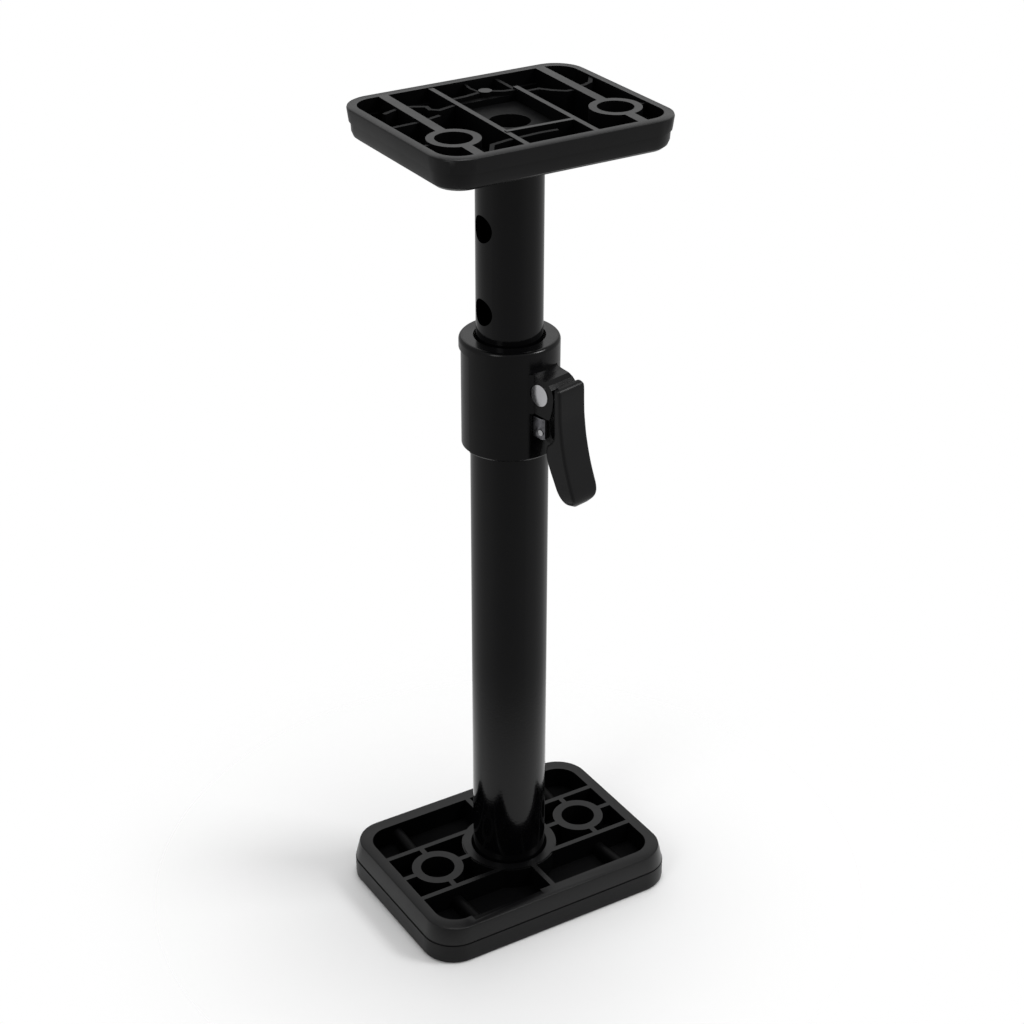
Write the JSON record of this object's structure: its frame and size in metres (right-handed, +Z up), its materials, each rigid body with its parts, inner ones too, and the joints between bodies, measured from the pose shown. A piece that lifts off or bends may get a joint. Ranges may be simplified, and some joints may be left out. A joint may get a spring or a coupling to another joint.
{
  "type": "telescopic floor pedestal",
  "caption": "Telescopic floor pedestal: ribbed foot on a rubber sole, locking collar with a pull lever, and a pierced inner tube that carries a ribbed head plate.",
  "frame": {"origin": "on the tube axis, on the floor under the sole", "axes": "+Z up along the tubes, X along the long sides of both plates, -Y towards the lever"},
  "size_m": [0.1444, 0.105, 0.4265],
  "materials": {
    "sole": "matte moulded rubber",
    "plate": "satin black moulded plastic",
    "collar": "glossy black moulded plastic",
    "tube": "glossy black coated steel",
    "bright": "bright plated steel",
    "steel": "zinc plated steel",
    "nylon": "natural nylon"
  },
  "bodies": {
    "post": {"base_sole": "sole", "base_plate": "plate", "foot_washer": "steel", "foot_bolt": "steel", "foot_plug": "nylon", "outer_tube": "tube", "tube_bush": "nylon", "collar": "collar", "collar_screw": "tube", "pivot_pin": "bright", "pin_clip": "steel"},
    "lever": {"lever": "plate", "lever_spring": "bright"},
    "peg": {"lock_peg": "steel", "peg_pin": "steel"},
    "slider": {"glide_ring": "nylon"},
    "mast": {"inner_tube": "tube", "tube_end": "plate", "head_plug": "steel", "head_bolt": "steel", "head_washer": "steel", "head_plate": "plate"}
  },
  "joints": [
    {"name": "height_slide", "type": "slide", "parent": "post", "child": "slider", "axis": [0, 0, 1], "range_m": [-0.0935, 0.12]},
    {"name": "post_turn", "type": "hinge", "parent": "slider", "child": "mast", "pos_m": [0, 0, 0.14], "axis": [0, 0, 1], "continuous": true},
    {"name": "lever_pull", "type": "hinge", "parent": "post", "child": "lever", "pos_m": [0.00637, -0.02757, 0.2967], "axis": [-0.9744, -0.225, 0], "range_deg": [0, 18], "stiffness_Nm_per_rad": 0.2, "springref_deg": -10, "deforming": ["lever_spring"]},
    {"name": "peg_slide", "type": "slide", "parent": "post", "child": "peg", "axis": [0.225, -0.9744, 0], "range_m": [0, 0.0064]}
  ],
  "couplings": [
    {"joint": "peg_slide", "follows": "lever_pull", "m_per_rad": 0.02037}
  ]
}
